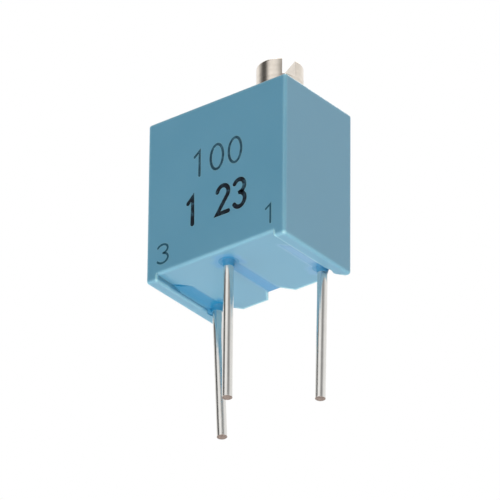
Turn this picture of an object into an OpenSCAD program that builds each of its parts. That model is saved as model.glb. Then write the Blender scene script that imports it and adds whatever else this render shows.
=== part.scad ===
// Quarter-inch square multi-turn trimmer potentiometer, adjusted from the top.
// A worm cut on the adjusting screw turns a toothed rotor, which sweeps a wiper round a
// cermet track. Millimetres. The origin is on the axis of terminal 2 at the level of the
// feet; +X runs to the right of the marked face, +Y into the body and +Z up.

/* [Body] */
// Width of the body, left to right
body_w = 6.7; // [6.6:0.05:7.4]
// Depth of the body, marked face to back
body_d = 4.15; // [4.1:0.05:4.8]
// Height of the body from the feet to the top
body_h = 7.0; // [6.9:0.05:7.8]
// Radius of the moulded outer edges
edge_r = 0.12; // [0.06:0.01:0.2]
// Wall of the gear chamber: front, left and right
wall = 0.42; // [0.4:0.01:0.46]
// Wall above the gear chamber
top_wall = 0.5; // [0.4:0.02:0.7]
// Thinner rim of wall round the open back
rim_wall = 0.3; // [0.22:0.01:0.34]

/* [Underside] */
// Height of the two side rails that the body stands on
standoff = 0.24; // [0.1:0.01:0.35]
// Width of each side rail
rail_w = 0.53; // [0.4:0.01:0.7]
// Gap beside a wire in the channel that it is laid into
channel_gap = 0.03; // [0.02:0.01:0.08]
// Depth of the channels of terminals 1 and 3 above the underside
channel_depth = 0.4; // [0.2:0.01:0.6]
// Marked face to the front ends of those channels
channel_front = 1; // [0.6:0.05:1.6]
// Depth of the flared notches at the back of the channels
notch_depth = 0.6; // [0.3:0.01:0.65]
// Flare of a notch to each side
notch_flare = 0.43; // [0.1:0.01:0.5]
// Rounding of the inner edges of the rails
rail_r = 0.1; // [0.04:0.01:0.14]

/* [Terminals] */
// Pitch of the terminals, across the row and between the two rows
pitch = 2.54; // [2.5:0.01:2.58]
// Back of the body to the axes of terminals 1 and 3
terminal_inset = 0.76; // [0.68:0.01:0.9]
// Diameter of the tinned wire
terminal_d = 0.4; // [0.35:0.01:0.45]
// Length of wire below the feet
terminal_len = 5.6; // [3:0.1:8]
// Shorter cut of terminal 1
trim_1 = 0.25; // [0:0.05:0.5]
// Shorter cut of terminal 3
trim_3 = 0.15; // [0:0.05:0.5]
// Sideways lean of terminal 1, degrees
lean_1 = -0.9; // [-4:0.1:4]
// Sideways lean of terminal 3, degrees
lean_3 = 3; // [-4:0.1:4]
// Centreline radius of the bends in terminal 2
bend_r = 0.58; // [0.56:0.01:0.6]

/* [Adjusting screw] */
// Right side of the body to the screw's axis
screw_inset_x = 1.27; // [1.25:0.01:1.35]
// Marked face to the screw's axis
screw_inset_y = 1.27; // [1.25:0.01:1.35]
// Diameter of the head and shank
screw_d = 1.82; // [1.78:0.01:1.84]
// Height of the head above the body
head_h = 1.16; // [0.6:0.02:1.6]
// Width of the driver slot
slot_w = 0.56; // [0.35:0.01:0.65]
// Depth of the driver slot
slot_depth = 0.7; // [0.3:0.02:0.9]
// Direction of the slot from +X, degrees
slot_angle = -28.7; // [-90:0.1:90]
// Rounding of the head's rim
head_rim_r = 0.07; // [0.02:0.01:0.15]
// Diameter of the neck that the retaining clip holds
neck_d = 1.0; // [0.8:0.02:1.1]
// Diameter of the lower journal
journal_d = 0.9; // [0.7:0.02:1.0]
// Length of the lower journal
journal_len = 0.42; // [0.3:0.01:0.5]
// Depth of the guide bore from the top of the body
guide_len = 1.35; // [1.2:0.01:1.45]

/* [Worm and rotor] */
// Teeth on the rotor, which is also the turns of the screw for one turn of the rotor
rotor_teeth = 16; // [14:1:16]
// Pitch diameter of the worm
worm_pitch_d = 1.28; // [1.26:0.01:1.3]
// Pressure angle, degrees
pressure_angle = 20; // [18:0.5:22]
// Play between meshed flanks, at the pitch line
backlash = 0.04; // [0.03:0.005:0.07]
// Width of the rotor's teeth
rotor_w = 0.95; // [0.8:0.01:1.0]
// Diameter of the fixed post that the rotor turns on
post_d = 0.9; // [0.7:0.02:1.1]
// Angle between the rotor's two stops, degrees
rotor_travel = 270; // [240:5:280]

/* [Element and wiper] */
// Thickness of the ceramic substrate
substrate_t = 0.5; // [0.4:0.01:0.55]
// Thickness of the printed and fired films
film_t = 0.02; // [0.015:0.005:0.03]
// Rotor's tips to the outer edge of the resistive track
track_inset = 0.23; // [0.15:0.01:0.4]
// Width of the resistive track
track_w = 0.42; // [0.3:0.01:0.5]
// Angle of the track between its end electrodes, degrees
track_sweep = 296; // [284:1:300]
// Thickness of the wiper's spring strip
wiper_t = 0.07; // [0.05:0.005:0.09]
// Width of one wiper finger
finger_w = 0.12; // [0.1:0.005:0.13]

/* [Seals] */
// Section diameter of the O-ring
ring_section = 0.38; // [0.34:0.01:0.42]
// Depth of the resin's surface below the back rim
resin_sink = 0.5; // [0.1:0.01:0.54]
// Thickness of the retaining clip
clip_t = 0.22; // [0.18:0.01:0.26]

/* [Hidden] */

// Clearances between pieces
running_gap = 0.03;   // round a journal, and beside a thrust face
guide_gap = 0.04;     // round the screw's shank
swing_gap = 0.1;      // round the rotor's tips
fit_gap = 0.02;       // between pieces that only slide together
fuse = 0.05;          // how far a feature is rooted in what carries it
through = 1;          // how far a cutter runs past a face

// Planes and axes of the body
row_y = pitch;                                 // axes of terminals 1 and 3
back_y = row_y + terminal_inset;
level_y = back_y - resin_sink;                 // surface of the resin
front_y = back_y - body_d;
side_x = body_w / 2;
screw_x = side_x - screw_inset_x;
screw_y = front_y + screw_inset_y;
chamber_front = front_y + wall;
chamber_side = side_x - wall;
ceiling_z = body_h - top_wall;

// Terminals: [x, y, lean, shorter cut]
TERMINALS = [[pitch, row_y, lean_1, trim_1], [0, 0, 0, 0], [-pitch, row_y, lean_3, trim_3]];
terminal_r = terminal_d / 2;
leg_bend_r = 1;                                // centreline of the bend below the feet
slot_gap = 0.2;                                // resin round a wire
slot_half = terminal_r + slot_gap;
run_cover = 0.5;                               // resin under the run of terminal 2
run_z = standoff + run_cover + terminal_r;
run_gap = 0.06;                                // resin above it
run_slot_z = run_z + terminal_r + run_gap;
channel_half = terminal_r + channel_gap;
floor_web = 0.17;                              // floor above that
floor_z = run_slot_z + floor_web;

rail_face = side_x - rail_w;
channel_slant = 0.5;                           // how much further back their right sides begin
fillet_w = 0.5;                                // fillet of resin beside the left rail

// Substrate, soldered against the terminals and standing on the chamber floor
solder_gap = 0.02;
substrate_back = row_y - terminal_r - solder_gap - film_t;
substrate_front = substrate_back - substrate_t;
recess_side = side_x - rim_wall;
recess_top = body_h - rim_wall;

// Worm and rotor: the teeth are as large as the chamber takes, both ways
addendum_ratio = 0.8;
room_w = screw_x - worm_pitch_d / 2 + chamber_side - swing_gap;
room_h = ceiling_z - floor_z - 2 * swing_gap;
tooth_module = min(room_w / (rotor_teeth + addendum_ratio), room_h / (rotor_teeth + 2 * addendum_ratio));
lead = PI * tooth_module;
addendum = addendum_ratio * tooth_module;
dedendum = tooth_module;
worm_gap = 0.06;                               // round the worm in its bore
worm_r = worm_pitch_d / 2 + addendum;
worm_root_r = worm_pitch_d / 2 - dedendum;
rotor_pitch_r = rotor_teeth * tooth_module / 2;
rotor_r = rotor_pitch_r + addendum;
rotor_root_r = rotor_pitch_r - dedendum;
rotor_x = screw_x - worm_pitch_d / 2 - rotor_pitch_r;
rotor_z = floor_z + swing_gap + rotor_r;
rotor_front = screw_y - rotor_w / 2;
rotor_back = screw_y + rotor_w / 2;
hub_wall = 0.35;                               // round the bore
hub_r = post_d / 2 + hub_wall;
hub_cap = 0.12;                                // web that closes the rotor's bore at the back
stop_gap = 0.12;                               // hub to the stops
stop_rim = 0.08;                               // stops to the roots of the teeth
stop_in = hub_r + stop_gap;
stop_out = rotor_root_r - stop_rim;
stop_t = 0.3;
lug_angle = 24;
stop_play = 2;
post_angle = 360 - rotor_travel - lug_angle - 2 * stop_play;

// Stations up the screw
guide_z = body_h - guide_len;
clip_top = guide_z - fit_gap;
collar_t = 0.13;
collar_r = worm_r + worm_gap / 5;
guide_wall = 0.2;                              // of the boss round the guide bore
bearing_wall = 0.28;                           // of the boss round the journal
bearing_top = floor_z + journal_len + running_gap;
worm_z0 = bearing_top + running_gap + collar_t;
worm_z1 = clip_top - clip_t - running_gap - collar_t;
guide_r = screw_d / 2 + guide_gap;
ring_lift = 0.42;                              // foot of the shank to the groove of the O-ring
ring_play = 0.06;                              // of the ring along its groove
ring_gap = 0.015;                              // round the ring, inside and out
ring_groove_z = guide_z + ring_lift;
ring_groove_h = ring_section + ring_play;
ring_r = guide_r - ring_gap - ring_section / 2;
ring_root_r = ring_r - ring_section / 2 - ring_gap;

// Retaining clip
clip_half = guide_r;
clip_tail = substrate_front - fit_gap - screw_y;

// Wiper, from the rotor's axis: two stakes, the plate that they hold and its fingers
track_r = rotor_r - track_inset - track_w / 2;
stake_x = 0.3;
stake_z = -1.2;
stake_r = 0.11;
stake_head = 0.06;                             // stake above the plate
plate_w = 1.1;
plate_h = 0.62;
plate_drop = 0.34;                             // stakes to the lower edge of the plate
plate_root = 0.2;                              // stakes to the roots of the fingers
contact_r = 0.056;                             // rounded tip of a finger
contact_gap = 0.01;
inner_x = 0.47;                                // the fingers on the collector

// Films, plated holes and solder
collector_in = 0.4;
collector_out = 0.95;
collector_r = (collector_in + collector_out) / 2;
lead_w = 0.32;                                 // a printed lead
overlap = 6;                                   // angle of the track that an electrode covers
via_r = 0.14;
via_rise = 0.5;
via_z = floor_z + via_rise;
pad_w = 0.66;
pad_foot = 0.2;                                // floor to the pads
pad_h = 1.3;
pad_gap = 0.05;                                // round the pads, sideways
pad_z = [floor_z + pad_foot, floor_z + pad_foot + pad_h];
wire_top = pad_z[1] + 0.1;
solder_rim = 0.1;                              // pad that the solder leaves bare, above and below
solder_skin = 0.02;                            // solder beside the wire

// Meniscus round a wire: thickness at the feet, halfway up and at the underside
skin = [0.012, 0.03, 0.07];
collar_gap = 0.04;                             // its widest part to the side of the slot
collar_rise = 0.18;                            // underside to its widest part

// Finenesses
round_fn = 64;
small_fn = 32;

// ------------------------------------------------------------------ shared shapes

// Turns a flat shape drawn in X and Z so that its thickness runs from y0 to y1.
module slab_y(y0, y1)
    translate([0, y1, 0]) rotate([90, 0, 0]) linear_extrude(y1 - y0) children();

// A cylinder along +Y from y0 to y1.
module rod_y(x, z, r, y0, y1)
    translate([x, y0, z]) rotate([-90, 0, 0]) cylinder(r = r, h = y1 - y0, $fn = round_fn);

// A ring sector in the plane, centred on an angle.
module sector(r0, r1, mid, width) {
    steps = max(3, ceil(width / 8));
    function ray(r, i) = let (a = mid - width / 2 + width * i / steps) [r * cos(a), r * sin(a)];
    polygon(concat([for (i = [0:steps]) ray(r1, i)], [for (i = [steps:-1:0]) ray(r0, i)]));
}

// A straight band between two points of the plane, with round ends.
module band(p, q, w) {
    d = q - p;
    n = [-d.y, d.x] / norm(d) * w / 2;
    polygon([p + n, q + n, q - n, p - n]);
    for (c = [p, q]) translate(c) circle(d = w, $fn = small_fn);
}

// ------------------------------------------------------------------ housing

// A corner of the body: a post whose two ends are rounded by the edge radius.
module corner_post(h) {
    arc = [0:18:90];
    rotate_extrude($fn = small_fn)
        polygon(concat([[0, 0]],
            [for (a = arc) edge_r * [sin(a), 1 - cos(a)]],
            [for (a = arc) [edge_r * cos(a), h - edge_r * (1 - sin(a))]],
            [[0, h]]));
}

module outer_block()
    hull()
        for (x = [-side_x + edge_r, side_x - edge_r], y = [front_y + edge_r, back_y - edge_r])
            translate([x, y, 0]) corner_post(body_h);

// Points of an arc between two angles.
function arc(c, r, from, to, steps) = [for (i = [0:steps]) let (a = from + (to - from) * i / steps) c + r * [cos(a), sin(a)]];

// Extrudes a flat shape drawn in Y and Z from x0 to x1.
module slab_x(x0, x1)
    translate([x0, 0, 0]) rotate([90, 0, 90]) linear_extrude(x1 - x0) children();

// The channel between the rails, which rounds the lower edge of the marked face.
module underside_channel() {
    lip = [for (a = [0:18:90]) [front_y + edge_r * (1 - cos(a)), standoff + edge_r * (1 - sin(a))]];
    slab_x(-rail_face, rail_face)
        polygon(concat([[front_y - through, -through], [front_y - through, standoff + edge_r]],
            lip, [[back_y + through, standoff], [back_y + through, -through]]));
}

// The rounding of the rails' inner edges.
module rail_edges()
    for (s = [0, 1]) mirror([s, 0, 0]) slab_y(front_y - through, back_y + through)
        polygon(concat([[rail_face - fuse, -through], [rail_face + rail_r, -through]],
            arc([rail_face + rail_r, rail_r], rail_r, -90, -180, 5), [[rail_face - fuse, rail_r]]));

// The slots that the wires are laid into from the back, before the resin is poured.
module wire_slot(x, y, half, z0, z1)
    translate([x - half, y, z0]) cube([2 * half, back_y + through - y, z1 - z0]);

module wire_hole(x, y, z0, z1)
    translate([x, y, z0]) cylinder(r = slot_half, h = z1 - z0, $fn = small_fn);

module wire_slots() {
    for (t = [TERMINALS[0], TERMINALS[2]]) {
        wire_hole(t.x, t.y, -through, floor_z);
        wire_slot(t.x, t.y, channel_half, -through, floor_z);
    }
    wire_hole(0, 0, -through, run_slot_z);
    wire_slot(0, 0, channel_half, -through, run_slot_z);
    wire_hole(0, row_y, run_z, floor_z);
    wire_slot(0, row_y, slot_half, run_z, floor_z);
}

// The blind channels ahead of terminals 1 and 3, with slanted front ends, and the notches
// that flare all three slots at the back.
module channels() {
    y0 = front_y + channel_front;
    for (t = [TERMINALS[0], TERMINALS[2]])
        translate([t.x, 0, -through]) linear_extrude(through + standoff + channel_depth)
            polygon([[-channel_half, y0], [channel_half, y0 + channel_slant],
                [channel_half, t.y], [-channel_half, t.y]]);
    for (t = TERMINALS)
        translate([t.x, 0, -through]) linear_extrude(through + floor_z)
            for (s = [0, 1]) mirror([s, 0])
                polygon([[-fuse, back_y - notch_depth], [channel_half, back_y - notch_depth],
                    [channel_half + notch_flare, back_y], [channel_half + notch_flare, back_y + through],
                    [-fuse, back_y + through]]);
}

// The space for the rotor, the worm and the wiper.
module chamber()
    translate([-chamber_side, chamber_front, floor_z])
        cube([2 * chamber_side, substrate_front + fuse - chamber_front, ceiling_z - floor_z]);

// The wider recess behind it, which takes the substrate and the resin. It is never
// narrower than the outer pads need.
module back_recess(y0, y1) {
    half = max(recess_side, pitch + pad_w / 2 + pad_gap);
    translate([-recess_side, y0, floor_z]) cube([2 * recess_side, y1 - y0, recess_top - floor_z]);
    if (half > recess_side) translate([-half, y0, pad_z[0] - pad_gap])
        cube([2 * half, y1 - y0, pad_z[1] - pad_z[0] + 2 * pad_gap]);
}

// What stands in the chamber and is moulded with the housing.
module guide_boss() {
    r = guide_r + guide_wall;
    translate([0, 0, guide_z]) linear_extrude(ceiling_z + fuse - guide_z) {
        translate([screw_x, screw_y]) circle(r = r, $fn = round_fn);
        translate([screw_x - r, chamber_front - fuse]) square([chamber_side + fuse - screw_x + r, screw_inset_y - wall + fuse]);
        translate([screw_x, chamber_front - fuse]) square([chamber_side + fuse - screw_x, screw_inset_y - wall + fuse + r]);
    }
}

module bearing_boss()
    translate([screw_x, screw_y, floor_z - fuse])
        cylinder(r = journal_d / 2 + bearing_wall, h = bearing_top - floor_z + fuse, $fn = round_fn);

module rotor_post()
    rod_y(rotor_x, rotor_z, post_d / 2, chamber_front - fuse, rotor_back - hub_cap - running_gap);

module stop_post()
    translate([rotor_x, 0, rotor_z]) slab_y(chamber_front - fuse, chamber_front + stop_t)
        sector(stop_in, stop_out, -90, post_angle);

module screw_bore() {
    translate([screw_x, screw_y, guide_z - fuse]) cylinder(r = guide_r, h = guide_len + through, $fn = round_fn);
    translate([screw_x, screw_y, bearing_top]) cylinder(r = worm_r + worm_gap, h = guide_z - bearing_top, $fn = round_fn);
    translate([screw_x, screw_y, floor_z]) cylinder(r = journal_d / 2 + running_gap, h = bearing_top - floor_z + fuse, $fn = round_fn);
}

// The step that the clip is pushed into from the back.
module clip_seat()
    translate([screw_x - clip_half - fit_gap, screw_y - clip_half - fit_gap, clip_top - clip_t - fit_gap])
        cube([2 * (clip_half + fit_gap), clip_half + clip_tail + 2 * fit_gap + fuse, clip_t + 2 * fit_gap]);

module housing()
    color("steelblue") difference() {
        outer_block();
        difference() {
            chamber();
            guide_boss();
            bearing_boss();
            rotor_post();
            stop_post();
        }
        back_recess(substrate_front, back_y + through);
        screw_bore();
        clip_seat();
        underside_channel();
        rail_edges();
        wire_slots();
        channels();
    }

// ------------------------------------------------------------------ adjusting screw

// Half of the screw's outline: journal, thrust collar, core, collar, neck, shank and head.
module screw_outline() {
    head_z = body_h + head_h;
    r = screw_d / 2;
    polygon(concat(
        [[0, floor_z + running_gap], [journal_d / 2, floor_z + running_gap],
         [journal_d / 2, worm_z0 - collar_t], [collar_r, worm_z0 - collar_t], [collar_r, worm_z0],
         [worm_root_r / 2, worm_z0], [worm_root_r / 2, worm_z1], [collar_r, worm_z1],
         [collar_r, worm_z1 + collar_t], [neck_d / 2, worm_z1 + collar_t],
         [neck_d / 2, guide_z + running_gap], [r, guide_z + running_gap],
         [r, ring_groove_z], [ring_root_r, ring_groove_z],
         [ring_root_r, ring_groove_z + ring_groove_h], [r, ring_groove_z + ring_groove_h]],
        [for (a = [0:22.5:90]) [r - head_rim_r * (1 - cos(a)), head_z - head_rim_r * (1 - sin(a))]],
        [[0, head_z]]));
}

// Radius of the worm at an angle round its cross-section, for a rack of straight flanks.
function worm_radius(a) =
    let (u = abs((a + 180) % 360 - 180) / 360 * lead,
         gap = lead / 4 + backlash / 2,
         r = worm_pitch_d / 2 + (u - gap) / tan(pressure_angle))
    max(worm_root_r, min(worm_r, r));

// Right-hand thread. Its groove faces the rotor at the height of the rotor's axis.
module worm() {
    steps_per_turn = 15;
    foot_z = worm_z0 - fuse;
    turns = (worm_z1 - worm_z0 + 2 * fuse) / lead;
    translate([screw_x, screw_y, foot_z]) rotate(180 + 360 * (foot_z - rotor_z) / lead)
        linear_extrude(turns * lead, twist = -360 * turns, slices = ceil(turns * steps_per_turn))
            polygon([for (a = [0:12:348]) worm_radius(a) * [cos(a), sin(a)]]);
}

module adjusting_screw()
    color("tan") difference() {
        union() {
            translate([screw_x, screw_y, 0]) rotate_extrude($fn = round_fn) screw_outline();
            worm();
        }
        translate([screw_x, screw_y, body_h + head_h - slot_depth]) rotate(slot_angle)
            translate([-screw_d, -slot_w / 2, 0]) cube([2 * screw_d, slot_w, slot_depth + through]);
    }

module o_ring()
    color("dimgray") translate([screw_x, screw_y, ring_groove_z + ring_groove_h / 2])
        rotate_extrude($fn = round_fn) translate([ring_r, 0]) circle(d = ring_section, $fn = small_fn);

// A U of sheet steel. Its legs straddle the neck and its tail is trapped by the substrate.
module retaining_clip()
    color("silver") translate([screw_x, screw_y, clip_top - clip_t])
        linear_extrude(clip_t) difference() {
            translate([-clip_half, -clip_half]) square([2 * clip_half, clip_half + clip_tail]);
            circle(d = neck_d + 2 * running_gap, $fn = round_fn);
            translate([-neck_d / 2 - running_gap, -clip_half - through])
                square([neck_d + 2 * running_gap, clip_half + through]);
        }

// ------------------------------------------------------------------ rotor and wiper

// Angle, in degrees, by which an involute has turned where it reaches radius r.
function involute(base, r) =
    r <= base ? 0 : let (t = sqrt(pow(r / base, 2) - 1)) t * 180 / PI - atan(t);

// Half of a tooth's angle at radius r.
function half_tooth(r) =
    let (base = rotor_pitch_r * cos(pressure_angle),
         at_pitch = 90 / rotor_teeth - backlash / 2 / rotor_pitch_r * 180 / PI)
    at_pitch + involute(base, rotor_pitch_r) - involute(base, r);

module tooth_ring() {
    radii = [for (i = [0:4]) rotor_root_r + (rotor_r - rotor_root_r) * i / 4];
    polygon([for (k = [0:rotor_teeth - 1], s = [-1, 1], i = [0:4])
        let (r = s < 0 ? radii[i] : radii[4 - i], a = 360 / rotor_teeth * k + s * half_tooth(r))
        r * [cos(a), sin(a)]]);
}

// Toothed wheel with a blind bore, a thrust hub at the front, a stop lug and two stakes.
module rotor_gear() {
    helix = atan(lead / (PI * worm_pitch_d));
    turn = tan(helix) * rotor_w / rotor_pitch_r * 180 / PI;
    color("gainsboro") difference() {
        union() {
            translate([rotor_x, rotor_front, rotor_z]) rotate([-90, 0, 0])
                linear_extrude(rotor_w, twist = -turn, slices = 4) rotate(-turn / 2) tooth_ring();
            rod_y(rotor_x, rotor_z, hub_r, chamber_front + running_gap, rotor_front + fuse);
            translate([rotor_x, 0, rotor_z]) slab_y(rotor_front - stop_t, rotor_front + fuse)
                sector(stop_in, stop_out, 90, lug_angle);
            for (x = [-1, 1] * stake_x)
                rod_y(rotor_x + x, rotor_z + stake_z, stake_r, rotor_back - fuse, rotor_back + wiper_t + stake_head);
        }
        rod_y(rotor_x, rotor_z, post_d / 2 + running_gap, chamber_front, rotor_back - hub_cap);
    }
}

// One finger, rising from the spring's plate to the film that it presses on.
module finger(x, tip, w) {
    base = [rotor_z + stake_z + plate_root, rotor_back];
    end = [rotor_z + tip, substrate_front - film_t - contact_r - contact_gap];
    lift = [0, wiper_t];
    translate([rotor_x + x - w / 2, 0, 0]) rotate([90, 0, 90]) linear_extrude(w)
        mirror([1, 0]) rotate(90) {
            polygon([base, end - lift / 2, end + lift / 2, base + lift + [wiper_t, 0]]);
            translate(end) circle(r = contact_r, $fn = small_fn);
        }
}

// Spring strip with three fingers on the track and two on the collector.
module wiper_spring() {
    color("goldenrod") difference() {
        union() {
            translate([rotor_x - plate_w / 2, rotor_back, rotor_z + stake_z - plate_drop])
                cube([plate_w, wiper_t, plate_h]);
            for (i = [-1:1]) finger(i * finger_w * 1.5, track_r, finger_w);
            for (s = [-1, 1]) finger(s * inner_x, sqrt(pow(collector_r, 2) - pow(inner_x, 2)), finger_w);
        }
        for (x = [-1, 1] * stake_x)
            rod_y(rotor_x + x, rotor_z + stake_z, stake_r, rotor_back - fuse, rotor_back + wiper_t + fuse);
    }
}

// ------------------------------------------------------------------ element

module substrate()
    color("white") difference() {
        translate([-recess_side + fit_gap, substrate_front, floor_z])
            cube([2 * (recess_side - fit_gap), substrate_t, recess_top - fit_gap - floor_z]);
        for (t = TERMINALS)
            rod_y(t.x, via_z, via_r, substrate_front - through, substrate_back + through);
    }

// A film printed on the front of the substrate.
module front_film() slab_y(substrate_front - film_t, substrate_front) children();

module resistive_track()
    color([0.15, 0.15, 0.17]) front_film() translate([rotor_x, rotor_z])
        sector(track_r - track_w / 2, track_r + track_w / 2, 90, track_sweep - 2 * overlap);

// The plated hole and the pad behind it, where a terminal is soldered.
module plated_pad(x) {
    rod_y(x, via_z, via_r, substrate_front - film_t, substrate_back + film_t);
    slab_y(substrate_back, substrate_back + film_t)
        translate([x - pad_w / 2, pad_z[0]]) square([pad_w, pad_h]);
}

// The end of the track, its lead to the edge and its plated hole. side is 1 or -1.
module electrode(side) {
    mid = 90 - side * (track_sweep - overlap) / 2;
    foot = [rotor_x, rotor_z] + track_r * [cos(mid), sin(mid)];
    color("lightgray") {
        front_film() {
            translate([rotor_x, rotor_z]) sector(track_r - track_w / 2, track_r + track_w / 2, mid, overlap);
            band(foot, [side * pitch, via_z], lead_w);
        }
        plated_pad(side * pitch);
    }
}

module electrode_1() electrode(1);
module electrode_3() electrode(-1);

// The ring that the inner fingers run on, and its lead to terminal 2.
module collector()
    color("lightgray") {
        front_film() {
            translate([rotor_x, rotor_z]) difference() {
                circle(r = collector_out, $fn = round_fn);
                circle(r = collector_in, $fn = round_fn);
            }
            band([rotor_x, rotor_z - collector_r], [0, via_z], lead_w);
        }
        plated_pad(0);
    }

// ------------------------------------------------------------------ terminals and seals

// The leg of a wire below the feet: a slight bend to one side, then straight.
module leg(lean, trim) {
    turn = abs(lean);
    length = terminal_len - trim;
    mirror([lean < 0 ? 1 : 0, 0, 0]) {
        if (turn > 0) translate([leg_bend_r, 0, 0]) rotate([-90, 0, 180])
            rotate_extrude(angle = turn, $fn = round_fn)
                translate([leg_bend_r, 0]) circle(d = terminal_d, $fn = small_fn);
        translate(leg_bend_r * [1 - cos(turn), 0, -sin(turn)]) rotate([0, -turn, 0])
            translate([0, 0, -length]) cylinder(d = terminal_d, h = length, $fn = small_fn);
    }
}

// A wire soldered upright behind the substrate, with a leg that leans.
module straight_terminal(t)
    color("lightgray") translate([t.x, t.y, 0]) {
        cylinder(d = terminal_d, h = wire_top, $fn = small_fn);
        leg(t[2], t[3]);
    }

module terminal_1() straight_terminal(TERMINALS[0]);
module terminal_3() straight_terminal(TERMINALS[2]);

// A quarter bend of wire in the Y-Z plane, about its own centre.
module wire_bend(y, z, turn)
    translate([0, y, z]) rotate([turn, 0, 0]) rotate([90, 0, 90])
        rotate_extrude(angle = 90, $fn = round_fn) translate([bend_r, 0]) circle(d = terminal_d, $fn = small_fn);

// Terminal 2 leaves at the front, so its wire runs back under the floor to the substrate.
module terminal_2()
    color("lightgray") {
        translate([0, 0, -terminal_len]) cylinder(d = terminal_d, h = terminal_len + run_z - bend_r, $fn = small_fn);
        wire_bend(bend_r, run_z - bend_r, 90);
        rod_y(0, run_z, terminal_r, bend_r, row_y - bend_r);
        wire_bend(row_y - bend_r, run_z + bend_r, 270);
        translate([0, row_y, run_z + bend_r])
            cylinder(d = terminal_d, h = wire_top - run_z - bend_r, $fn = small_fn);
    }

// Solder between a wire and its pad.
module solder_block(t) {
    base = pad_w / 2;
    top = terminal_r + solder_skin;
    translate([t.x, substrate_back + film_t, pad_z[0] + solder_rim]) linear_extrude(pad_h - 2 * solder_rim)
        polygon([[-base, 0], [base, 0], [top, terminal_r * 1.5], [-top, terminal_r * 1.5]]);
}

module solder_1() color("silver") difference() { solder_block(TERMINALS[0]); terminal_1(); }
module solder_2() color("silver") difference() { solder_block(TERMINALS[1]); terminal_2(); }
module solder_3() color("silver") difference() { solder_block(TERMINALS[2]); terminal_3(); }

// The meniscus of resin that creeps down a wire as far as the feet.
module collar(t) {
    top_r = slot_half - collar_gap;
    stations = [0, standoff / 2, standoff];
    translate([t.x, t.y, 0]) rotate_extrude($fn = small_fn)
        polygon(concat([[0, 0]], [for (i = [0:2]) [terminal_r + skin[i], stations[i]]],
            [[top_r, standoff + collar_rise], [top_r, run_z], [0, run_z]]));
}

// The fillet of resin that has crept forward in the corner between the underside and the
// rail beside terminal 3.
module rail_fillet() {
    y0 = front_y + channel_front;
    side = -rail_face + fillet_w;
    depth = standoff - rail_r;
    top = standoff + fuse;
    // halfway between a flat and a quarter of an ellipse
    curve = [for (a = [0:15:90]) let (flat = (1 + sin(a) - cos(a)) / 2)
        [side - fillet_w * (cos(a) + 1 - flat) / 2, rail_r + depth * (sin(a) + flat) / 2]];
    intersection() {
        slab_y(y0, row_y) polygon(concat(curve, [[side, top], [-rail_face, top]]));
        linear_extrude(top)
            polygon([[-rail_face, y0], [side, y0 + channel_slant], [side, row_y], [-rail_face, row_y]]);
        slab_x(-rail_face, side)
            polygon([[y0, standoff], [y0 + channel_slant, rail_r], [row_y, rail_r], [row_y, top], [y0, top]]);
        union() {
            underside_channel();
            channels();
        }
    }
}

// Resin poured over the substrate and the solder, down the slots and round the wires.
module sealing_resin()
    color("steelblue") difference() {
        union() {
            back_recess(substrate_back, level_y);
            rail_fillet();
            difference() {
                intersection() {
                    union() {
                        wire_slots();
                        channels();
                    }
                    translate([-side_x, front_y, standoff])
                        cube([body_w, level_y - front_y, floor_z + fuse - standoff]);
                }
                translate([-side_x, front_y, floor_z]) cube([body_w, substrate_back - front_y, through]);
            }
            for (t = TERMINALS) collar(t);
        }
        terminal_1();
        terminal_2();
        terminal_3();
        for (t = TERMINALS) solder_block(t);
        for (t = TERMINALS) translate([t.x - pad_w / 2, substrate_back - fuse, pad_z[0]])
            cube([pad_w, film_t + fuse, pad_h]);
    }

// ------------------------------------------------------------------ parts

housing();
adjusting_screw();
o_ring();
retaining_clip();
rotor_gear();
wiper_spring();
substrate();
resistive_track();
collector();
electrode_1();
electrode_3();
terminal_1();
terminal_2();
terminal_3();
solder_1();
solder_2();
solder_3();
sealing_resin();
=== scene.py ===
"""A square multi-turn trimmer potentiometer on three wire legs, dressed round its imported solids."""

import math

import bpy
from mathutils import Matrix, Vector


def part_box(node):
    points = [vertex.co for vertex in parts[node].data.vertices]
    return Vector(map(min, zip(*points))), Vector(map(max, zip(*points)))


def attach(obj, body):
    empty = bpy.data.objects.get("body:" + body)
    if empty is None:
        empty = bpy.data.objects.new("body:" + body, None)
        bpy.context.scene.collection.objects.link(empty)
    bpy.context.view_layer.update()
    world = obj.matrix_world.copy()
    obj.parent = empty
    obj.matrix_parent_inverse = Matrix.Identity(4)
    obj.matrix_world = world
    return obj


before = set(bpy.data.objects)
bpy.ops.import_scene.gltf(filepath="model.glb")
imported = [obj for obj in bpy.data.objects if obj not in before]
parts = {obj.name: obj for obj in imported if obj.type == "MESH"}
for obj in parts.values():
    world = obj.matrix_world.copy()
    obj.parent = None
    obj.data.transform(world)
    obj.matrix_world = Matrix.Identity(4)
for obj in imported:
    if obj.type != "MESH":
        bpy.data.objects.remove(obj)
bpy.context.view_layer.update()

# ---------------------------------------------------------------- camera
# A long lens looks up at the part from below and to the right of its marked face,
# so that the face, the right side, the underside and all three legs show.

MM = 0.001
CAMERA_AZIMUTH = math.radians(38.37)
CAMERA_ELEVATION = math.radians(-29.19)
CAMERA_ROLL = math.radians(0.53)
CAMERA_DISTANCE = 270 * MM
CAMERA_LENS = 513.7
AIM_RIGHT, AIM_UP = 1.337 * MM, 0.319 * MM

case_low, case_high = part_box("housing")
face_foot = Vector(((case_low.x + case_high.x) / 2, case_low.y, case_low.z))

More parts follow.
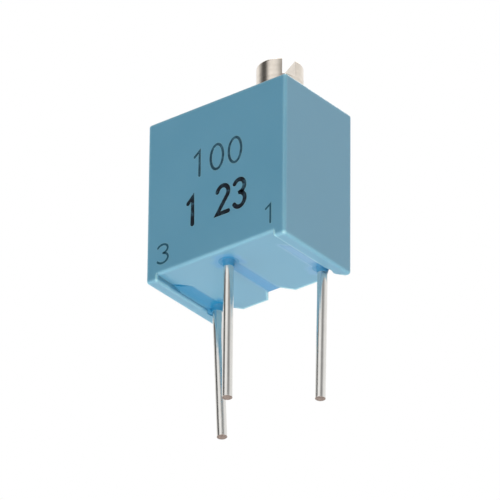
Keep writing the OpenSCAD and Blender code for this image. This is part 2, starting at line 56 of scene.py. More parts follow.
to_camera = Vector((
    math.sin(CAMERA_AZIMUTH) * math.cos(CAMERA_ELEVATION),
    -math.cos(CAMERA_AZIMUTH) * math.cos(CAMERA_ELEVATION),
    math.sin(CAMERA_ELEVATION),
))
level_right = Vector((math.cos(CAMERA_AZIMUTH), math.sin(CAMERA_AZIMUTH), 0))
level_up = to_camera.cross(level_right)
view_right = math.cos(CAMERA_ROLL) * level_right + math.sin(CAMERA_ROLL) * level_up
view_up = math.cos(CAMERA_ROLL) * level_up - math.sin(CAMERA_ROLL) * level_right
aim = face_foot + AIM_RIGHT * view_right + AIM_UP * view_up

camera_data = bpy.data.cameras.new("camera")
camera_data.lens = CAMERA_LENS
camera_data.clip_start = 10 * MM
camera_data.clip_end = 5000 * MM
camera = bpy.data.objects.new("camera", camera_data)
bpy.context.scene.collection.objects.link(camera)
axes = Matrix((view_right, view_up, to_camera)).transposed()
camera.matrix_world = Matrix.Translation(aim + CAMERA_DISTANCE * to_camera) @ axes.to_4x4()
bpy.context.scene.camera = camera

# ---------------------------------------------------------------- housing
# One moulding of satin blue thermoplastic, open at the back, with two rails to stand on
# and a channel for each leg, flared at the back. Its skin has the fine grain of the mould.

CASE_BLUE = (0.115, 0.330, 0.468)
CASE_BLUE_PALE = (0.133, 0.356, 0.494)
# The pale edge colour and its width below make a painted highlight along the moulding's edges
CASE_EDGE_HIGHLIGHT = (0.400, 0.740, 0.820)
CASE_GLOSS = (0.285, 0.37)
EDGE_SOFT = 0.06 * MM
EDGE_HIGHLIGHT_WIDTH = 0.115 * MM
RAIL_H = 0.24 * MM


def new_material(name):
    """A material with one Principled shader. Returns the material, its tree and the shader."""
    material = bpy.data.materials.new(name)
    material.use_nodes = True
    return material, material.node_tree, material.node_tree.nodes["Principled BSDF"]


def node(tree, kind, sockets=(), **settings):
    """Adds a node. sockets gives its inputs another node's output or a plain value."""
    made = tree.nodes.new(kind)
    for name, value in settings.items():
        setattr(made, name, value)
    for key, value in dict(sockets).items():
        if isinstance(value, bpy.types.NodeSocket):
            tree.links.new(value, made.inputs[key])
        else:
            made.inputs[key].default_value = value
    return made


def blend(tree, factor, first, second):
    """Mixes two colours, each an output or three plain values. Returns the mixed colour."""
    first, second = [color if isinstance(color, bpy.types.NodeSocket) else (*color, 1)
                     for color in (first, second)]
    # Inputs 6 and 7 and output 2 are the ones for colours
    mixed = node(tree, "ShaderNodeMix", {"Factor": factor, 6: first, 7: second}, data_type="RGBA")
    return mixed.outputs[2]


def calc(tree, operation, *terms, **settings):
    """Works on outputs and plain numbers. Returns the result."""
    made = node(tree, "ShaderNodeMath", dict(enumerate(terms)), operation=operation, **settings)
    return made.outputs["Value"]


def remap(tree, value, start, end, low=0, high=1, **settings):
    """Carries the range from start to end over to the one from low to high. Returns the result."""
    made = node(tree, "ShaderNodeMapRange",
                {"Value": value, "From Min": start, "From Max": end, "To Min": low, "To Max": high},
                **settings)
    return made.outputs["Result"]


def noise(tree, place, scale, detail, roughness=0.5):
    """Cloudy noise, with about scale clouds to a metre. Returns a value round 0.5."""
    made = node(tree, "ShaderNodeTexNoise",
                {"Vector": place, "Scale": scale, "Detail": detail, "Roughness": roughness})
    return made.outputs["Fac"]


def object_place(tree):
    """Returns the place on the object, in metres."""
    return node(tree, "ShaderNodeTexCoord").outputs["Object"]


def new_group(name, inputs, outputs):
    """An empty node group with the given sockets. Returns the tree and its two end nodes."""
    tree = bpy.data.node_groups.new(name, "ShaderNodeTree")
    for socket, kind, value in inputs:
        made = tree.interface.new_socket(socket, in_out="INPUT", socket_type=kind)
        made.default_value = value
    for socket, kind in outputs:
        tree.interface.new_socket(socket, in_out="OUTPUT", socket_type=kind)
    return tree, tree.nodes.new("NodeGroupInput"), tree.nodes.new("NodeGroupOutput")


def dress(name, material):
    """Gives a solid its material."""
    part = parts[name]
    part.data.materials.clear()
    part.data.materials.append(material)


# Grain of a moulded skin, cloudy in colour and gloss, with a painted highlight along its edges
skin_group, skin_in, skin_out = new_group(
    "moulded_skin",
    [
        ("Color", "NodeSocketColor", (0.5, 0.5, 0.5, 1)),
        ("Pale", "NodeSocketColor", (0.6, 0.6, 0.6, 1)),
        ("Edge highlight", "NodeSocketColor", (0.7, 0.7, 0.7, 1)),
        ("Grain", "NodeSocketFloat", 15000.0),
        ("Relief", "NodeSocketFloat", 0.000001),
        ("Gloss low", "NodeSocketFloat", 0.3),
        ("Gloss high", "NodeSocketFloat", 0.45),
        ("Edge", "NodeSocketFloat", 0.00005),
        ("Highlight width", "NodeSocketFloat", 0.00008),
        ("Highlight", "NodeSocketFloat", 1.0),
    ],
    [
        ("Color", "NodeSocketColor"),
        ("Roughness", "NodeSocketFloat"),
        ("Normal", "NodeSocketVector"),
    ],
)
THIN_EDGE = (0.96, 0.76)
PATCHES = (0.25, 0.7)
place = object_place(skin_group)
clouds = noise(skin_group, place, scale=420, detail=3, roughness=0.55)
grain = noise(skin_group, place, scale=skin_in.outputs["Grain"], detail=4)
tone = blend(skin_group, clouds, skin_in.outputs["Color"], skin_in.outputs["Pale"])
# Painted highlight: a pale colour laid in patches along the convex edges, where the solid is thin
thin = node(skin_group, "ShaderNodeAmbientOcclusion", {"Distance": skin_in.outputs["Highlight width"]},
            inside=True, samples=8)
edge_mask = remap(skin_group, thin.outputs["AO"], *THIN_EDGE)
patchy = remap(skin_group, clouds, *PATCHES, low=0.55)
edge_patch = calc(skin_group, "MULTIPLY", edge_mask, patchy)
edge_highlight = calc(skin_group, "MULTIPLY", edge_patch, skin_in.outputs["Highlight"])
highlighted = blend(skin_group, edge_highlight, tone, skin_in.outputs["Edge highlight"])
gloss = remap(skin_group, clouds, 0.3, 0.7, skin_in.outputs["Gloss low"], skin_in.outputs["Gloss high"])
soft_edge = node(skin_group, "ShaderNodeBevel", {"Radius": skin_in.outputs["Edge"]}, samples=6)
relief = node(skin_group, "ShaderNodeBump",
              {"Height": grain, "Distance": skin_in.outputs["Relief"],
               "Normal": soft_edge.outputs["Normal"]})
skin_group.links.new(highlighted, skin_out.inputs["Color"])
skin_group.links.new(gloss, skin_out.inputs["Roughness"])
skin_group.links.new(relief.outputs["Normal"], skin_out.inputs["Normal"])

# Resin along the channels and round the legs, which thins out over the moulding beside
# them. Tone is its blue, Film is 1 where it lies, and Low is 1 at and under the underside.
RESIN_DEEP = (0.030, 0.258, 0.466)
RESIN_BLUE = (0.095, 0.332, 0.588)
RESIN_THIN = (0.210, 0.418, 0.618)
LEG_PITCH = 2.54 * MM
UNDERSIDE_Z = case_low.z + RAIL_H
RUN_START_Y = case_low.y + 1.25 * MM
RUN_SLANT = 1.09
SHORE_UNEVEN = 0.42 * MM
POOL_SHARE = 0.75
FILM_COVER = 3

# Fades: where each begins and where it is full
RUN_FADE = (-0.15 * MM, 0.05 * MM)
HALO_FADE = (1.00 * MM, 0.60 * MM)
POOL_FADE = (0.86 * MM, 0.50 * MM)
POOL_TOP_FADE = (UNDERSIDE_Z + 1.1 * MM, UNDERSIDE_Z + 0.5 * MM)
LOW_FADE = (UNDERSIDE_Z + 0.14 * MM, UNDERSIDE_Z + 0.04 * MM)
FOOT_FADE = (case_low.z + 0.02 * MM, case_low.z + 0.10 * MM)

run_group, run_in, run_out = new_group(
    "resin_run",
    [
        ("Deep", "NodeSocketColor", (*RESIN_DEEP, 1)),
        ("Middle", "NodeSocketColor", (*RESIN_BLUE, 1)),
        ("Thin", "NodeSocketColor", (*RESIN_THIN, 1)),
        ("Full", "NodeSocketFloat", 0.15 * MM),
        ("Fade", "NodeSocketFloat", 0.38 * MM),
    ],
    [
        ("Tone", "NodeSocketColor"),
        ("Film", "NodeSocketFloat"),
        ("Low", "NodeSocketFloat"),
    ],
)
place = object_place(run_group)
at = node(run_group, "ShaderNodeSeparateXYZ", {"Vector": place})
left_half = remap(run_group, at.outputs["X"], -LEG_PITCH, 0)
right_half = remap(run_group, at.outputs["X"], 0, LEG_PITCH)
left_tone = blend(run_group, left_half, run_in.outputs["Deep"], run_in.outputs["Middle"])
run_tone = blend(run_group, right_half, left_tone, run_in.outputs["Thin"])

# The legs stand one pitch apart, the outer two one pitch further back than the middle one
in_pitches = calc(run_group, "DIVIDE", at.outputs["X"], LEG_PITCH)
nearest = calc(run_group, "ROUND", in_pitches)
outer = calc(run_group, "ABSOLUTE", nearest)
aside = calc(run_group, "MULTIPLY_ADD", nearest, -LEG_PITCH, at.outputs["X"])
behind = calc(run_group, "MULTIPLY_ADD", outer, -LEG_PITCH, at.outputs["Y"])

# The middle channel begins at its leg and the outer ones near the front, and the right
# side of each begins further back
past_start = calc(run_group, "MULTIPLY_ADD", outer, -RUN_START_Y, at.outputs["Y"])
past_slant = calc(run_group, "MULTIPLY_ADD", aside, -RUN_SLANT, past_start)
begun = remap(run_group, past_slant, *RUN_FADE)
spread = calc(run_group, "ABSOLUTE", aside)
across = remap(run_group, spread, run_in.outputs["Fade"], run_in.outputs["Full"],
               interpolation_type="SMOOTHSTEP")
along = calc(run_group, "MULTIPLY", across, begun)

# Round each leg the resin lies in a deep pool with an uneven shore
offset = node(run_group, "ShaderNodeCombineXYZ", {"X": aside, "Y": behind})
reach = node(run_group, "ShaderNodeVectorMath", {0: offset.outputs["Vector"]}, operation="LENGTH")
uneven = noise(run_group, place, scale=3200, detail=2)
shore = calc(run_group, "MULTIPLY_ADD", uneven, SHORE_UNEVEN, reach.outputs["Value"])
halo = remap(run_group, shore, *HALO_FADE, interpolation_type="SMOOTHSTEP")
film = calc(run_group, "MAXIMUM", along, halo)
pooled = remap(run_group, shore, *POOL_FADE)
beneath = remap(run_group, at.outputs["Z"], *POOL_TOP_FADE, high=POOL_SHARE)
deepened = calc(run_group, "MULTIPLY", pooled, beneath)
pool_tone = blend(run_group, deepened, run_tone, run_in.outputs["Deep"])
low = remap(run_group, at.outputs["Z"], *LOW_FADE)
run_group.links.new(pool_tone, run_out.inputs["Tone"])
run_group.links.new(film, run_out.inputs["Film"])
run_group.links.new(low, run_out.inputs["Low"])

# The moulding is stained where resin has run, but not on the feet, and has no painted edge highlight
# there
case_material, tree, shader = new_material("blue_moulding")
run = node(tree, "ShaderNodeGroup", node_tree=run_group)
at = node(tree, "ShaderNodeSeparateXYZ", {"Vector": object_place(tree)})
off_feet = remap(tree, at.outputs["Z"], *FOOT_FADE)
washed = calc(tree, "MULTIPLY", run.outputs["Low"], run.outputs["Film"])
stained = calc(tree, "MULTIPLY", washed, off_feet)
covered = calc(tree, "MULTIPLY", washed, FILM_COVER, use_clamp=True)
bare = calc(tree, "SUBTRACT", 1, covered)
soft_edge = calc(tree, "MULTIPLY", bare, EDGE_SOFT)
skin = node(
    tree, "ShaderNodeGroup",
    {"Color": (*CASE_BLUE, 1), "Pale": (*CASE_BLUE_PALE, 1), "Edge highlight": (*CASE_EDGE_HIGHLIGHT, 1),
     "Grain": 16000, "Relief": 5e-7, "Gloss low": CASE_GLOSS[0], "Gloss high": CASE_GLOSS[1],
     "Edge": soft_edge, "Highlight width": EDGE_HIGHLIGHT_WIDTH, "Highlight": bare},
    node_tree=skin_group)
tone = blend(tree, stained, skin.outputs["Color"], run.outputs["Tone"])
tree.links.new(tone, shader.inputs["Base Color"])
tree.links.new(skin.outputs["Roughness"], shader.inputs["Roughness"])
tree.links.new(skin.outputs["Normal"], shader.inputs["Normal"])
shader.inputs["IOR"].default_value = 1.6
shader.inputs["Coat Weight"].default_value = 0.4
shader.inputs["Coat Roughness"].default_value = 0.29
shader.inputs["Subsurface Weight"].default_value = 0.3
shader.inputs["Subsurface Scale"].default_value = 0.25 * MM
shader.inputs["Subsurface Radius"].default_value = (0.5, 0.8, 1.0)
dress("housing", case_material)

# ---------------------------------------------------------------- marking
# Figures printed on the face in thin ink with round-ended strokes: a value, a larger
# bold number below it, and the numbers of the two back legs.

INK = (0.006, 0.010, 0.016)
INK_WORN = (0.060, 0.165, 0.235)
INK_SOFT = (0.022, 0.066, 0.098)
INK_FAINT = (0.026, 0.100, 0.150)
INK_T = 0.006 * MM
INK_SCALE = 5200
INK_STARVED = 0.22
ARC_STEP = math.radians(10)
CAP_POINTS = 5

# Each row: cell of one figure, stroke, height of its middle above the feet, and the middles
# of its figures from the left edge
VALUE_SIZE, VALUE_STROKE, VALUE_Z = (0.60 * MM, 1.08 * MM), 0.118 * MM, 4.43 * MM
VALUE_X = (2.51 * MM, 3.40 * MM, 4.28 * MM)
BOLD_SIZE, BOLD_STROKE, BOLD_Z = (0.54 * MM, 1.18 * MM), 0.19 * MM, 2.46 * MM
BOLD_X = (2.20 * MM, 3.71 * MM, 4.50 * MM)
LEG_SIZE, LEG_STROKE, LEG_Z = (0.54 * MM, 0.80 * MM), 0.095 * MM, 1.06 * MM
LEG_NUMBERS = (("3", 0.80 * MM), ("1", 5.97 * MM))


def arc(cx, cz, rx, rz, start, end):
    """Points of an elliptic arc between two angles in degrees."""
    a0, a1 = math.radians(start), math.radians(end)
    steps = max(2, math.ceil(abs(a1 - a0) / ARC_STEP))
    angles = [a0 + (a1 - a0) * i / steps for i in range(steps + 1)]
    return [(cx + rx * math.cos(a), cz + rz * math.sin(a)) for a in angles]


# Centre lines of the figures, in a cell 1 wide and 2 high with its middle at 0, 0
FIGURES = {
    "0": arc(0, 0, 0.5, 1, 90, 450),
    "1": [(-0.32, 0.62), (0.08, 1), (0.08, -1)],
    "2": arc(0, 0.5, 0.5, 0.5, 165, -35) + [(-0.5, -1), (0.5, -1)],
    "3": arc(0, 0.52, 0.47, 0.48, 150, -80) + arc(0, -0.48, 0.5, 0.52, 80, -150),
}


def stroke(points, width, cell):
    """A stroke's centre line and its two sides, in metres, and whether it is a closed loop."""
    line = [Vector((x * cell[0], z * cell[1] / 2)) for x, z in points]
    closed = (line[0] - line[-1]).length < width * 0.1
    if closed:
        line = line[:-1]
    left, right = [], []
    for i, point in enumerate(line):
        before = line[i - 1] if i or closed else point
        after = line[(i + 1) % len(line)] if i + 1 < len(line) or closed else point
        into = (point - before).normalized()
        out = (after - point).normalized()
        into = into if into.length else out
        out = out if out.length else into
        tangent = (into + out).normalized()
        normal = Vector((-tangent.y, tangent.x))
        reach = width / 2 / max(0.5, normal.dot(Vector((-into.y, into.x))))
        left.append(point + normal * reach)
        right.append(point - normal * reach)
    return line, left, right, closed


def lay(rim, verts, faces):
    """Adds a rim through the ink's thickness, half of it sunk in the face. Returns its two rings."""
    count = len(rim)
    rings = []
    for y in (case_low.y - INK_T, case_low.y + INK_T):
        rings.append([len(verts) + i for i in range(count)])
        verts.extend((p.x, y, p.y) for p in rim)
    front, back = rings
    for i in range(count):
        j = (i + 1) % count
        faces.append((front[i], front[j], back[j], back[i]))
    return front, back


def lay_loop(left, right, verts, faces):
    """Adds a closed stroke: an outer and an inner rim with a face between them."""
    front_out, back_out = lay(left, verts, faces)
    front_in, back_in = lay(right, verts, faces)
    for i in range(len(left)):
        j = (i + 1) % len(left)
        faces.append((front_out[i], front_in[i], front_in[j], front_out[j]))
        faces.append((back_out[i], back_out[j], back_in[j], back_in[i]))


def lay_open(ends, left, right, verts, faces):
    """Adds an open stroke: one rim up its left side, round a cap and down its right side."""
    caps = []
    for middle, side in zip(ends, (left[-1], right[0])):
        turns = [-math.pi * k / (CAP_POINTS + 1) for k in range(1, CAP_POINTS + 1)]
        caps.append([middle + Matrix.Rotation(turn, 2) @ (side - middle) for turn in turns])
    front, back = lay(left + caps[0] + right[::-1] + caps[1], verts, faces)
    n = len(left)
    right_end, right_start = n + CAP_POINTS, 2 * n + CAP_POINTS - 1
    across = [(i, right_start - i) for i in range(n)]
    for (a, b), (c, d) in zip(across, across[1:]):
        faces.append((front[a], front[c], front[d], front[b]))
        faces.append((back[a], back[b], back[d], back[c]))
    end_cap = list(range(n - 1, right_end + 1))
    start_cap = list(range(right_start, right_start + CAP_POINTS + 1)) + [0]
    for cap in (end_cap, start_cap):
        faces.append(tuple(front[i] for i in cap[::-1]))
        faces.append(tuple(back[i] for i in cap))


def figures(name, text, centres, middle_z, size, width, material):
    """A row of printed figures on the face as one mesh, centred on the given places."""
    verts, faces = [], []
    for figure, x in zip(text, centres):
        line, left, right, closed = stroke(FIGURES[figure], width, size)
        shift = Vector((case_low.x + x, case_low.z + middle_z))
        left = [p + shift for p in left]
        right = [p + shift for p in right]
        if closed:
            lay_loop(left, right, verts, faces)
        else:
            lay_open((line[-1] + shift, line[0] + shift), left, right, verts, faces)
    mesh = bpy.data.meshes.new(name)
    mesh.from_pydata(verts, [], faces)
    mesh.validate()
    mesh.materials.append(material)
    piece = bpy.data.objects.new(name, mesh)
    bpy.context.scene.collection.objects.link(piece)
    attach(piece, "case")


def ink_material(name, dark, cover):
    """Thin ink with pale, starved patches. cover is the noise level where the patches begin."""
    material, tree, shader = new_material(name)
    blots = noise(tree, object_place(tree), scale=INK_SCALE, detail=5, roughness=0.7)
    starved = remap(tree, blots, cover, cover + INK_STARVED)
    film = node(tree, "ShaderNodeBump", {"Height": blots, "Distance": 1.5e-6})
    tree.links.new(blend(tree, starved, dark, INK_WORN), shader.inputs["Base Color"])
    tree.links.new(film.outputs["Normal"], shader.inputs["Normal"])
    shader.inputs["Roughness"].default_value = 0.6
    shader.inputs["Specular IOR Level"].default_value = 0.15
    return material


figures("printed_value", "100", VALUE_X, VALUE_Z, VALUE_SIZE, VALUE_STROKE,
        ink_material("ink_thin", INK_SOFT, 0.46))
figures("printed_number", "123", BOLD_X, BOLD_Z, BOLD_SIZE, BOLD_STROKE,
        ink_material("ink", INK, 0.5))
ink_faint = ink_material("ink_faint", INK_FAINT, 0.55)
for figure, x in LEG_NUMBERS:
    figures("leg_number_" + figure, figure, [x], LEG_Z, LEG_SIZE, LEG_STROKE, ink_faint)

# ---------------------------------------------------------------- sealing resin
# Clear blue epoxy poured into the open back and run along the channels. It is glossy, deep
# round each leg and in the left channel, and thinner and paler towards the right one.

RIPPLE_H = 0.016 * MM

resin_material, tree, shader = new_material("blue_resin")
run = node(tree, "ShaderNodeGroup", node_tree=run_group)
above = calc(tree, "SUBTRACT", 1, run.outputs["Low"])
filled = calc(tree, "MAXIMUM", above, run.outputs["Film"])
tone = blend(tree, filled, CASE_BLUE_PALE, run.outputs["Tone"])
ripple = noise(tree, object_place(tree), scale=2600, detail=2)
rippled = node(tree, "ShaderNodeBump", {"Height": ripple, "Distance": RIPPLE_H})
tree.links.new(tone, shader.inputs["Base Color"])
tree.links.new(rippled.outputs["Normal"], shader.inputs["Normal"])
shader.inputs["Roughness"].default_value = 0.2
shader.inputs["IOR"].default_value = 1.5
dress("sealing_resin", resin_material)

# A bead of resin that has run out between leg 3 and the rail beside it
BEAD_AT = Vector((-LEG_PITCH - 0.33 * MM, LEG_PITCH - 0.06 * MM, case_low.z + 0.15 * MM))
BEAD_HALF = (0.15 * MM, 0.26 * MM, 0.13 * MM)
BEAD_RINGS, BEAD_SIDES = 12, 24

verts = [(0, 0, -1)]
for i in range(1, BEAD_RINGS):
    tilt = math.pi * i / BEAD_RINGS - math.pi / 2
    for k in range(BEAD_SIDES):
        a = 2 * math.pi * k / BEAD_SIDES
        verts.append((math.cos(a) * math.cos(tilt), math.sin(a) * math.cos(tilt), math.sin(tilt)))
verts.append((0, 0, 1))
top = len(verts) - 1
faces = []
for k in range(BEAD_SIDES):
    j = (k + 1) % BEAD_SIDES
    faces.append((0, 1 + j, 1 + k))
    faces.append((top, top - BEAD_SIDES + k, top - BEAD_SIDES + j))
    for i in range(BEAD_RINGS - 2):
        low_row, high_row = 1 + i * BEAD_SIDES, 1 + (i + 1) * BEAD_SIDES
        faces.append((low_row + k, low_row + j, high_row + j, high_row + k))
bead_verts = [BEAD_AT + Vector([c * half for c, half in zip(vert, BEAD_HALF)]) for vert in verts]
bead_mesh = bpy.data.meshes.new("resin_bead")
bead_mesh.from_pydata(bead_verts, [], faces)
bead_mesh.validate()
bead_mesh.shade_smooth()
bead_mesh.materials.append(resin_material)
bead = bpy.data.objects.new("resin_bead", bead_mesh)
bpy.context.scene.collection.objects.link(bead)
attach(bead, "case")

# ---------------------------------------------------------------- adjusting screw
# Turned from brass rod and nickel plated, warm in tone, with the tool's fine rings still
# round its shank and head and a sawn slot across the top. The worm is cut lower down.

NICKEL = (0.900, 0.825, 0.735)
NICKEL_DULL = (0.690, 0.620, 0.540)
TURNED_EDGE = 0.02 * MM

# Rings left by a turning tool, and the dull cloud of plating
turned_group, turned_in, turned_out = new_group(
    "turned_metal",
    [
        ("Color", "NodeSocketColor", (0.7, 0.7, 0.7, 1)),
        ("Dull", "NodeSocketColor", (0.5, 0.5, 0.5, 1)),
        ("Rings", "NodeSocketFloat", 9000.0),
        ("Relief", "NodeSocketFloat", 0.000002),
        ("Gloss low", "NodeSocketFloat", 0.18),
        ("Gloss high", "NodeSocketFloat", 0.34),
    ],
    [
        ("Color", "NodeSocketColor"),
        ("Roughness", "NodeSocketFloat"),
        ("Normal", "NodeSocketVector"),
    ],
)
place = object_place(turned_group)
at = node(turned_group, "ShaderNodeSeparateXYZ", {"Vector": place})
height = node(turned_group, "ShaderNodeCombineXYZ", {"Z": at.outputs["Z"]})
rings = noise(turned_group, height.outputs["Vector"], scale=turned_in.outputs["Rings"], detail=6,
              roughness=0.75)
cloud = noise(turned_group, place, scale=2200, detail=4)
wear = remap(turned_group, calc(turned_group, "MULTIPLY", rings, cloud), 0.12, 0.42)
tone = blend(turned_group, wear, turned_in.outputs["Color"], turned_in.outputs["Dull"])
gloss = remap(turned_group, cloud, 0.3, 0.7,
              turned_in.outputs["Gloss low"], turned_in.outputs["Gloss high"])
soft_edge = node(turned_group, "ShaderNodeBevel", {"Radius": TURNED_EDGE}, samples=6)
relief = node(turned_group, "ShaderNodeBump",
              {"Height": rings, "Distance": turned_in.outputs["Relief"],
               "Normal": soft_edge.outputs["Normal"]})
turned_group.links.new(tone, turned_out.inputs["Color"])
turned_group.links.new(gloss, turned_out.inputs["Roughness"])
turned_group.links.new(relief.outputs["Normal"], turned_out.inputs["Normal"])


def use_finish(tree, shader, group, sockets):
    """Gives a shader the colour, roughness and normal of one of the finish groups."""
    finish = node(tree, "ShaderNodeGroup", sockets, node_tree=group)
    tree.links.new(finish.outputs["Color"], shader.inputs["Base Color"])
    tree.links.new(finish.outputs["Roughness"], shader.inputs["Roughness"])
    tree.links.new(finish.outputs["Normal"], shader.inputs["Normal"])


def metal(name, color, dull, rings, relief, gloss):
    """A metal with tool rings round the vertical axis. gloss is its range of roughness."""
    material, tree, shader = new_material(name)
    use_finish(tree, shader, turned_group,
               {"Color": (*color, 1), "Dull": (*dull, 1), "Rings": rings, "Relief": relief,
                "Gloss low": gloss[0], "Gloss high": gloss[1]})
    shader.inputs["Metallic"].default_value = 1
    return material


screw_material = metal("nickel_plate", NICKEL, NICKEL_DULL,
                       rings=9000, relief=2.2e-6, gloss=(0.17, 0.265))
dress("adjusting_screw", screw_material)

# ---------------------------------------------------------------- legs
# Tinned copper wire, cut with side cutters. The tin has run a little unevenly along it,
# and bare copper shows at the cut ends.

TIN = (0.910, 0.895, 0.860)
TIN_DULL = (0.700, 0.685, 0.655)
COPPER = (0.420, 0.320, 0.270)
COPPER_DARK = (0.170, 0.135, 0.120)
TIN_GLOSS = (0.15, 0.26)
WIRE_EDGE = 0.025 * MM
DENT_H = 0.006 * MM
CUT_H = 0.03 * MM
FACING_DOWN = -0.7
ALONG_WIRE = (1, 1, 0.12)
LEGS = ("terminal_1", "terminal_2", "terminal_3")


def leg_material(name, lowest):
    """Tinned wire whose end face, just above its lowest point, is bare copper."""
    material, tree, shader = new_material(name)
    place = object_place(tree)
    stretch = node(tree, "ShaderNodeVectorMath", {0: place, 1: ALONG_WIRE}, operation="MULTIPLY")
    runs = noise(tree, stretch.outputs["Vector"], scale=9000, detail=4)
    tin_tone = blend(tree, runs, TIN, TIN_DULL)
    sheared = noise(tree, place, scale=16000, detail=3, roughness=0.7)
    end_tone = blend(tree, remap(tree, sheared, 0.35, 0.65), COPPER, COPPER_DARK)

    at = node(tree, "ShaderNodeSeparateXYZ", {"Vector": place})
    surface = node(tree, "ShaderNodeNewGeometry")
    facing = node(tree, "ShaderNodeSeparateXYZ", {"Vector": surface.outputs["True Normal"]})
    low_down = calc(tree, "LESS_THAN", at.outputs["Z"], lowest + CUT_H)
    end_on = calc(tree, "LESS_THAN", facing.outputs["Z"], FACING_DOWN)
    cut = calc(tree, "MULTIPLY", low_down, end_on)

    dents = noise(tree, place, scale=2600, detail=3)
    gloss = remap(tree, dents, 0.3, 0.7, *TIN_GLOSS)
    soft_edge = node(tree, "ShaderNodeBevel", {"Radius": WIRE_EDGE}, samples=6)
    relief = node(tree, "ShaderNodeBump",
                  {"Height": dents, "Distance": DENT_H, "Normal": soft_edge.outputs["Normal"]})
    tree.links.new(blend(tree, cut, tin_tone, end_tone), shader.inputs["Base Color"])
    tree.links.new(gloss, shader.inputs["Roughness"])
    tree.links.new(relief.outputs["Normal"], shader.inputs["Normal"])
    shader.inputs["Metallic"].default_value = 1
    return material


for leg in LEGS:
    dress(leg, leg_material("tinned_" + leg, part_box(leg)[0].z))

# ---------------------------------------------------------------- solder
# A dull fillet of solder joins each leg to the plated pad behind its hole. The resin
# poured over it hides it.

SOLDER = (0.560, 0.560, 0.570)
SOLDER_DULL = (0.400, 0.405, 0.420)

solder_material = metal("solder", SOLDER, SOLDER_DULL, rings=2600, relief=4e-6, gloss=(0.35, 0.55))
for joint in ("solder_1", "solder_2", "solder_3"):
    dress(joint, solder_material)

# ---------------------------------------------------------------- ring and clip
# A black silicone ring seals the screw's shank in its bore, and a stamped steel fork
# pushed in from the back holds the screw down.

RUBBER = (0.018, 0.018, 0.020)
RUBBER_PALE = (0.036, 0.036, 0.040)
STEEL = (0.620, 0.625, 0.640)
STEEL_DULL = (0.420, 0.425, 0.440)


def moulding(name, color, pale, grain, relief, gloss, edge):
    """A moulded or fired skin, with a painted highlight of its pale tone along its edges. gloss is its
    range of roughness.
    """
    material, tree, shader = new_material(name)
    use_finish(tree, shader, skin_group,
               {"Color": (*color, 1), "Pale": (*pale, 1), "Edge highlight": (*pale, 1), "Grain": grain,
                "Relief": relief, "Gloss low": gloss[0], "Gloss high": gloss[1], "Edge": edge})
    return material


rubber_material = moulding("silicone_rubber", RUBBER, RUBBER_PALE,
                           grain=20000, relief=2e-6, gloss=(0.5, 0.7), edge=1e-5)
clip_material = metal("clip_steel", STEEL, STEEL_DULL, rings=5000, relief=1e-6, gloss=(0.25, 0.4))
dress("o_ring", rubber_material)
dress("retaining_clip", clip_material)

# ---------------------------------------------------------------- rotor and wiper
# A natural-coloured moulded wheel with helical teeth, and staked to it a bright sprung
# strip of precious alloy with five fingers.

ROTOR = (0.760, 0.740, 0.680)
ROTOR_PALE = (0.820, 0.800, 0.740)
ALLOY = (0.800, 0.640, 0.360)
ALLOY_DULL = (0.620, 0.480, 0.260)

rotor_material = moulding("natural_moulding", ROTOR, ROTOR_PALE,
                          grain=14000, relief=1.5e-6, gloss=(0.32, 0.48), edge=2e-5)
wiper_material = metal("wiper_alloy", ALLOY, ALLOY_DULL, rings=6000, relief=8e-7, gloss=(0.18, 0.3))
dress("rotor_gear", rotor_material)
dress("wiper_spring", wiper_material)

# ---------------------------------------------------------------- element
# A plate of white fired alumina, printed with a dark resistive track and with silvery
# conductors that lead to the plated holes. The films keep the grain of the screen.

ALUMINA = (0.780, 0.780, 0.750)
ALUMINA_PALE = (0.840, 0.840, 0.820)
CERMET = (0.020, 0.019, 0.022)
CERMET_PALE = (0.045, 0.043, 0.050)
FILM = (0.600, 0.590, 0.565)
FILM_DULL = (0.420, 0.410, 0.390)

alumina_material = moulding("alumina", ALUMINA, ALUMINA_PALE,
                            grain=18000, relief=2e-6, gloss=(0.6, 0.75), edge=1e-5)
cermet_material = moulding("cermet", CERMET, CERMET_PALE,
                           grain=18000, relief=2e-6, gloss=(0.35, 0.5), edge=1e-5)
film_material = metal("silver_film", FILM, FILM_DULL, rings=7000, relief=1.5e-6, gloss=(0.4, 0.55))
dress("substrate", alumina_material)
dress("resistive_track", cermet_material)
for film in ("collector", "electrode_1", "electrode_3"):
    dress(film, film_material)

# ---------------------------------------------------------------- studio
# A plain pale floor at the level of the legs' ends, open to light and sight from below,
# a white surround and large soft lamps.

FLOOR_HALF = 300 * MM
FLOOR_PALE = (0.80, 0.80, 0.80, 1)
WHITE = (1, 1, 1, 1)
AMBIENT = 0.42

floor_z = min(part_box(leg)[0].z for leg in LEGS)
floor_mesh = bpy.data.meshes.new("floor")
corners = [(x * FLOOR_HALF, y * FLOOR_HALF, floor_z) for x, y in ((-1, -1), (1, -1), (1, 1), (-1, 1))]
floor_mesh.from_pydata(corners, [], [(0, 1, 2, 3)])
floor = bpy.data.objects.new("floor", floor_mesh)
bpy.context.scene.collection.objects.link(floor)

# Clear from below and to shadow rays, and plain white in reflections
floor_material = bpy.data.materials.new("pale_floor")
floor_material.use_nodes = True
tree = floor_material.node_tree
tree.nodes.clear()
surface = node(tree, "ShaderNodeNewGeometry")
rays = node(tree, "ShaderNodeLightPath")
pale = node(tree, "ShaderNodeBsdfDiffuse", {"Color": FLOOR_PALE})
white = node(tree, "ShaderNodeEmission", {"Strength": 1})
clear = node(tree, "ShaderNodeBsdfTransparent")
open_side = calc(tree, "MAXIMUM", surface.outputs["Backfacing"], rays.outputs["Is Shadow Ray"])
lit = node(tree, "ShaderNodeMixShader",
           {0: rays.outputs["Is Glossy Ray"], 1: pale.outputs["BSDF"], 2: white.outputs["Emission"]})
both = node(tree, "ShaderNodeMixShader",
            {0: open_side, 1: lit.outputs["Shader"], 2: clear.outputs["BSDF"]})
node(tree, "ShaderNodeOutputMaterial", {"Surface": both.outputs["Shader"]})
floor_mesh.materials.append(floor_material)

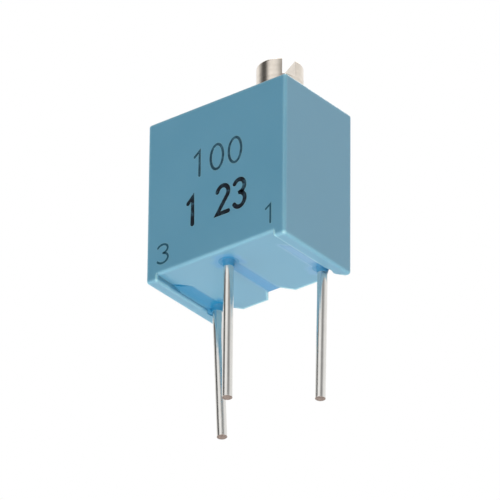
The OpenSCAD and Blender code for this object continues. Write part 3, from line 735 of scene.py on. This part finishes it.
# The surround: white to the camera, an even grey to matt surfaces, and to glossy ones
# white with two soft-edged dark cards. Cards: (azimuth, level)
CARDS = (
    (-95, 1.0), (-84, 0.80), (-74, 0.50), (-62, 0.22), (-54, 0.08), (-33, 0.08), (-22, 0.70),
    (-12, 1.0), (16, 1.0), (32, 0.70), (44, 0.30), (66, 0.30), (84, 0.52), (102, 0.85),
    (130, 0.92), (150, 0.88), (170, 1.0),
)
world = bpy.data.worlds.new("studio")
bpy.context.scene.world = world
world.use_nodes = True
tree = world.node_tree
tree.nodes.clear()
place = node(tree, "ShaderNodeTexCoord")
way = node(tree, "ShaderNodeSeparateXYZ", {"Vector": place.outputs["Generated"]})
forward = calc(tree, "MULTIPLY", way.outputs["Y"], -1)
azimuth = calc(tree, "ARCTAN2", way.outputs["X"], forward)
turn = remap(tree, azimuth, -math.pi, math.pi)
cards = node(tree, "ShaderNodeValToRGB", {"Fac": turn})
for stop in cards.color_ramp.elements:
    stop.color = WHITE
for degrees, level in CARDS:
    stop = cards.color_ramp.elements.new((degrees + 180) / 360)
    stop.color = (level, level, level, 1)
rays = node(tree, "ShaderNodeLightPath")
matt = node(tree, "ShaderNodeBackground", {"Color": WHITE, "Strength": AMBIENT})
glossy = node(tree, "ShaderNodeBackground", {"Color": cards.outputs["Color"], "Strength": 1})
seen = node(tree, "ShaderNodeBackground", {"Color": WHITE, "Strength": 1})
straight = calc(tree, "MAXIMUM", rays.outputs["Is Camera Ray"], rays.outputs["Is Transmission Ray"])
mirrored = node(tree, "ShaderNodeMixShader",
                {0: rays.outputs["Is Glossy Ray"], 1: matt.outputs["Background"],
                 2: glossy.outputs["Background"]})
whole = node(tree, "ShaderNodeMixShader",
             {0: straight, 1: mirrored.outputs["Shader"], 2: seen.outputs["Background"]})
node(tree, "ShaderNodeOutputWorld", {"Surface": whole.outputs["Shader"]})

# Lamps: (name, azimuth, elevation, distance, size, share of the plain level). The one at
# the right isn't mirrored, because the surround already gives what the metal mirrors there.
for name, azimuth_deg, elevation_deg, distance, size, share in (
    ("lamp_below", -15, -75, 250 * MM, 160 * MM, 0.53),
    ("lamp_front", 10, -30, 260 * MM, 160 * MM, 0.33),
    ("lamp_right", 95, 10, 260 * MM, 160 * MM, 0.18),
    ("lamp_top", 200, 65, 260 * MM, 180 * MM, 0.35),
):
    a, e = math.radians(azimuth_deg), math.radians(elevation_deg)
    lamp_way = Vector((math.sin(a) * math.cos(e), -math.cos(a) * math.cos(e), math.sin(e)))
    lamp_data = bpy.data.lights.new(name, "AREA")
    lamp_data.size = size
    lamp_data.energy = share * math.pi ** 2 * distance ** 2
    lamp = bpy.data.objects.new(name, lamp_data)
    lamp.location = lamp_way * distance
    lamp.rotation_mode = "QUATERNION"
    lamp.rotation_quaternion = lamp_way.to_track_quat("Z", "Y")
    lamp.visible_camera = False
    lamp.visible_glossy = name != "lamp_right"
    bpy.context.scene.collection.objects.link(lamp)

bpy.context.scene.view_settings.view_transform = "Standard"
